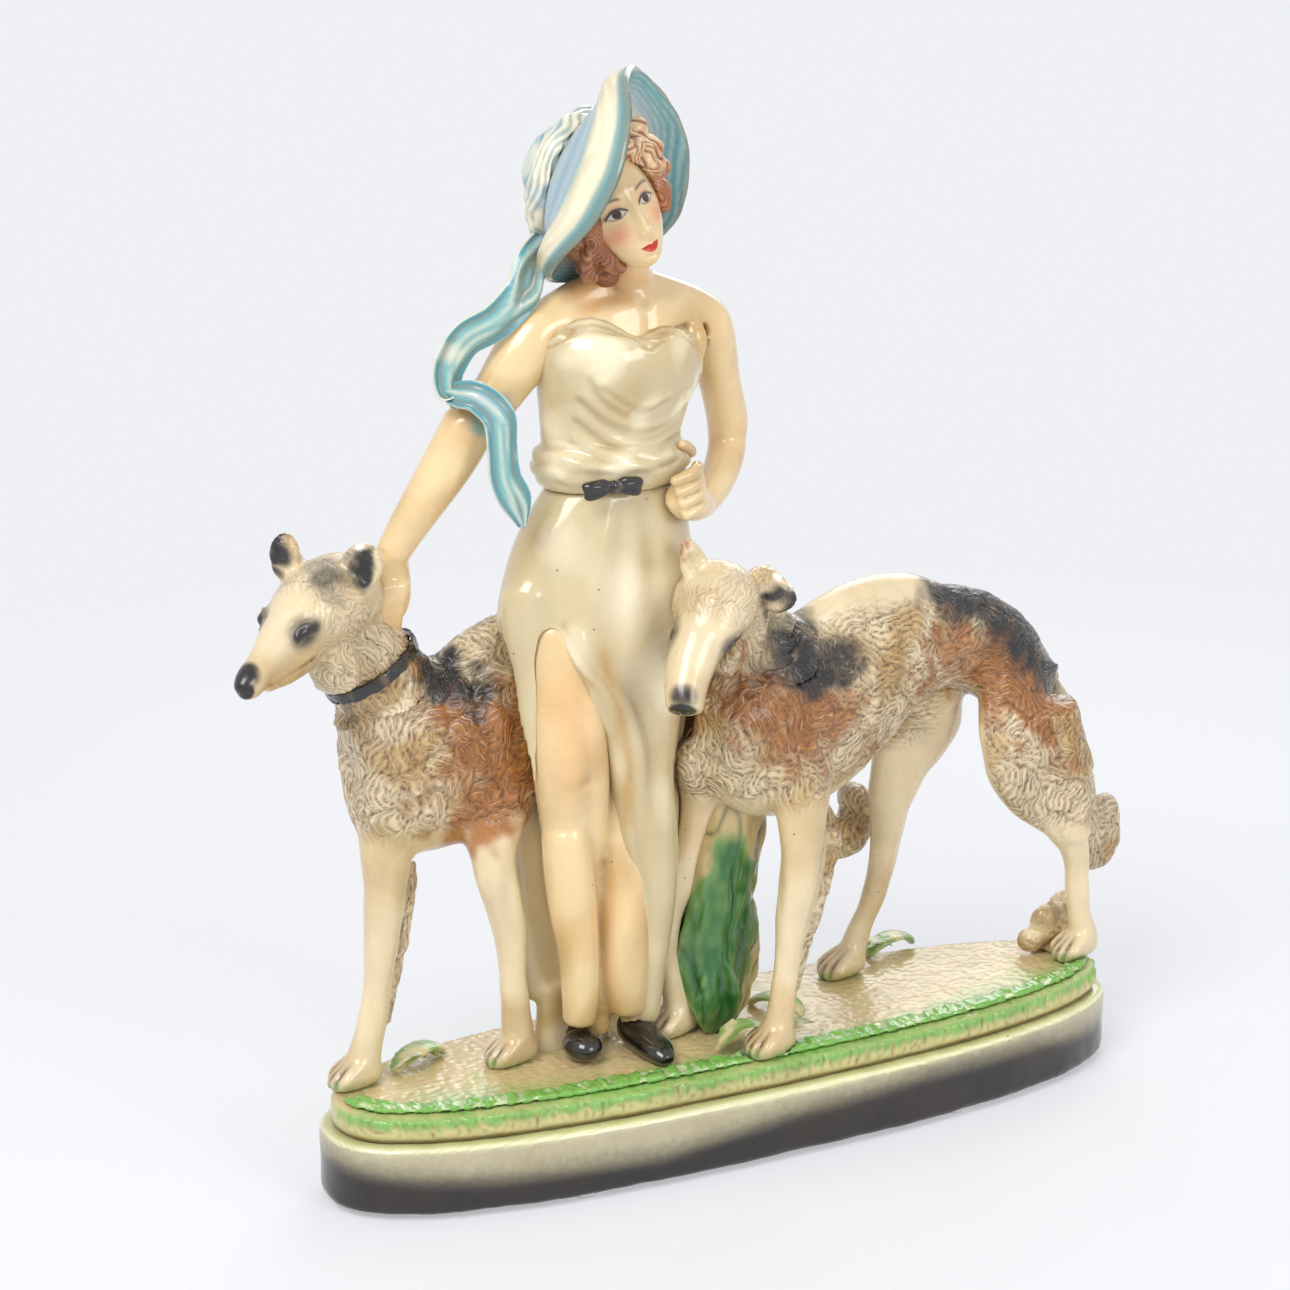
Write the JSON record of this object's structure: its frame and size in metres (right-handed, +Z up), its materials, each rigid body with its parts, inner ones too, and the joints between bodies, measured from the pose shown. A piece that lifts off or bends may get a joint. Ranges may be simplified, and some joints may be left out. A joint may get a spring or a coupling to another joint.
{
  "type": "chalkware figure",
  "caption": "Painted plaster ornament of a lady in a wide hat walking long haired hounds over an oval grassy plinth.",
  "frame": {"origin": "middle of the plinth's footprint, at the level of the shelf that the bumper pads touch", "axes": "+Z up; +X along the plinth from the lady's right hand to her left; she faces -Y"},
  "size_m": [0.3922, 0.1, 0.3999],
  "materials": {
    "plinth_paint": "airbrushed khaki to black over plaster, varnished",
    "ground_paint": "sandy tan with a green wash, varnished plaster",
    "grass_paint": "bright green glossy paint on plaster",
    "leaf_paint": "deep green glossy paint on plaster",
    "fur_paint": "cream with airbrushed brown and black, antiqued in the grooves, varnished plaster",
    "skin_paint": "pale cream flesh, glossy varnished plaster",
    "dress_paint": "khaki cream, glossy varnished plaster",
    "hat_paint": "turquoise streaked with cream, glossy varnished plaster",
    "cream_paint": "cream, glossy varnished plaster",
    "hair_paint": "auburn with cream highlights, varnished plaster",
    "black_paint": "glossy black paint on plaster",
    "clear_rubber": "clear soft stick-on pad"
  },
  "bodies": {
    "root": {"plinth": "plinth_paint", "ground_slab": "ground_paint", "bumper_pads": "clear_rubber", "grass_rim": "grass_paint", "leaf_column": "leaf_paint", "ground_leaves": "leaf_paint", "stump": "fur_paint", "far_hound_body": "fur_paint", "far_hound_head": "fur_paint", "far_hound_paws": "fur_paint", "far_hound_neck": "fur_paint", "far_hound_ears": "fur_paint", "far_hound_foreleg_near": "fur_paint", "far_hound_foreleg_far": "fur_paint", "far_hound_hindleg_near": "fur_paint", "far_hound_hindleg_far": "fur_paint", "far_hound_tail": "fur_paint", "far_hound_feathering": "fur_paint", "far_hound_collar": "black_paint", "near_hound_body": "fur_paint", "near_hound_head": "fur_paint", "near_hound_paws": "fur_paint", "near_hound_neck": "fur_paint", "near_hound_ears": "fur_paint", "near_hound_foreleg_near": "fur_paint", "near_hound_foreleg_far": "fur_paint", "near_hound_hindleg_near": "fur_paint", "near_hound_hindleg_far": "fur_paint", "near_hound_tail": "fur_paint", "near_hound_feathering": "fur_paint", "lady_head": "skin_paint", "lady_bodice": "dress_paint", "lady_chest": "skin_paint", "lady_neck": "skin_paint", "bodice_hem": "dress_paint", "right_shoe": "black_paint", "left_shoe": "black_paint", "right_leg": "skin_paint", "left_leg": "skin_paint", "right_upper_arm": "skin_paint", "right_forearm": "skin_paint", "right_hand": "skin_paint", "left_upper_arm": "skin_paint", "left_forearm": "skin_paint", "left_hand": "skin_paint", "skirt": "dress_paint", "waist_bow": "black_paint", "hat_brim": "hat_paint", "hat_crown": "hat_paint", "hat_band": "cream_paint", "lady_hair": "hair_paint", "scarf_upper": "hat_paint", "scarf_lower": "hat_paint"}
  },
  "joints": []
}
